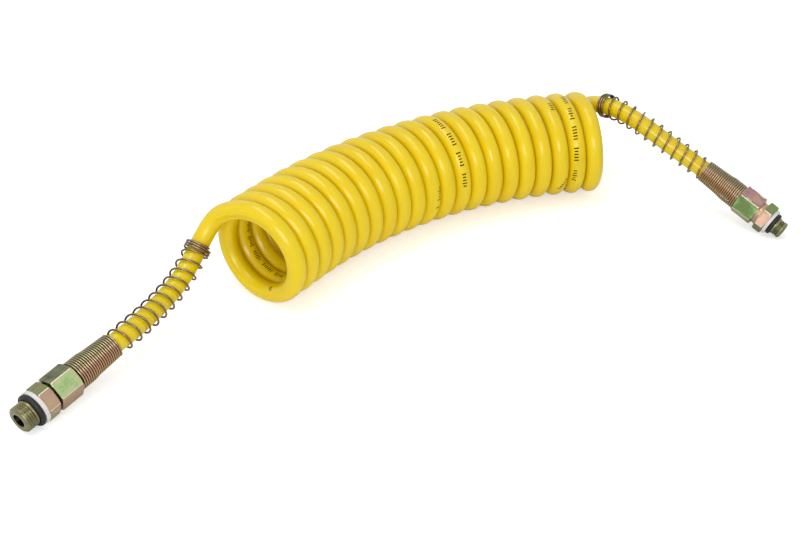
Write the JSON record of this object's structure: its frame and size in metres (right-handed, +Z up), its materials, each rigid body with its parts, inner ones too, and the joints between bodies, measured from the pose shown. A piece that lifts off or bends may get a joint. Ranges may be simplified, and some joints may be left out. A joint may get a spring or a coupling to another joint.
{
  "type": "coiled air hose",
  "caption": "Coiled yellow air hose with free tails, anti-kink springs and a threaded screw connector at each end.",
  "frame": {"origin": "bottom centre of the bounding box of the whole hose as it lies at rest, on the floor plane", "axes": "+X along the coil's chord from end A to end B, +Y toward the outer side of the coil's bend, +Z up"},
  "size_m": [0.5092, 0.2053, 0.0707],
  "materials": {
    "hose": "glossy flexible polyurethane",
    "plated_body": "yellow-passivated zinc plate",
    "plated_nut": "yellow-passivated zinc plate, greenish",
    "spring_wire": "yellow-passivated spring steel wire",
    "white_ring": "white plastic",
    "black_rubber": "black rubber",
    "inner_brass": "plain brass"
  },
  "bodies": {
    "hose_and_end_a": {"hose_coil": "hose", "hose_tail_a": "hose", "hose_end_a": "hose", "connector_body_a": "plated_body", "thrust_ring_a": "white_ring", "o_ring_a": "black_rubber", "support_sleeve_a": "inner_brass", "clamping_ring_a": "inner_brass"},
    "spring_a": {"anti_kink_spring_a": "spring_wire"},
    "nut_a": {"union_nut_a": "plated_nut"},
    "end_b": {"hose_tail_b": "hose", "hose_end_b": "hose", "connector_body_b": "plated_body", "thrust_ring_b": "white_ring", "o_ring_b": "black_rubber", "support_sleeve_b": "inner_brass", "clamping_ring_b": "inner_brass"},
    "spring_b": {"anti_kink_spring_b": "spring_wire"},
    "nut_b": {"union_nut_b": "plated_nut"}
  },
  "joints": [
    {"name": "coil_stretch", "type": "slide", "parent": "hose_and_end_a", "child": "end_b", "axis": [1, 0, 0], "range_m": [0, 0.6], "stiffness_N_per_m": 8, "deforming": ["hose_coil"]},
    {"name": "spring_a_slide", "type": "slide", "parent": "hose_and_end_a", "child": "spring_a", "axis": [0.9346, 0.331, 0.1305], "range_m": [0, 0.0045], "deforming": ["anti_kink_spring_a"]},
    {"name": "nut_a_screw", "type": "hinge", "parent": "spring_a", "child": "nut_a", "pos_m": [-0.22341, 0.00959, 0.01304], "axis": [0.9346, 0.331, 0.1305], "range_deg": [0, 1080]},
    {"name": "spring_b_slide", "type": "slide", "parent": "end_b", "child": "spring_b", "axis": [-0.2614, 0.8826, 0.3907], "range_m": [0, 0.0045], "deforming": ["anti_kink_spring_b"]},
    {"name": "nut_b_screw", "type": "hinge", "parent": "spring_b", "child": "nut_b", "pos_m": [0.23964, -0.07457, 0.01666], "axis": [-0.2614, 0.8826, 0.3907], "range_deg": [0, 1080]}
  ],
  "couplings": [
    {"joint": "nut_a_screw", "follows": "spring_a_slide", "rad_per_m": 4188.8},
    {"joint": "nut_b_screw", "follows": "spring_b_slide", "rad_per_m": 4188.8}
  ]
}
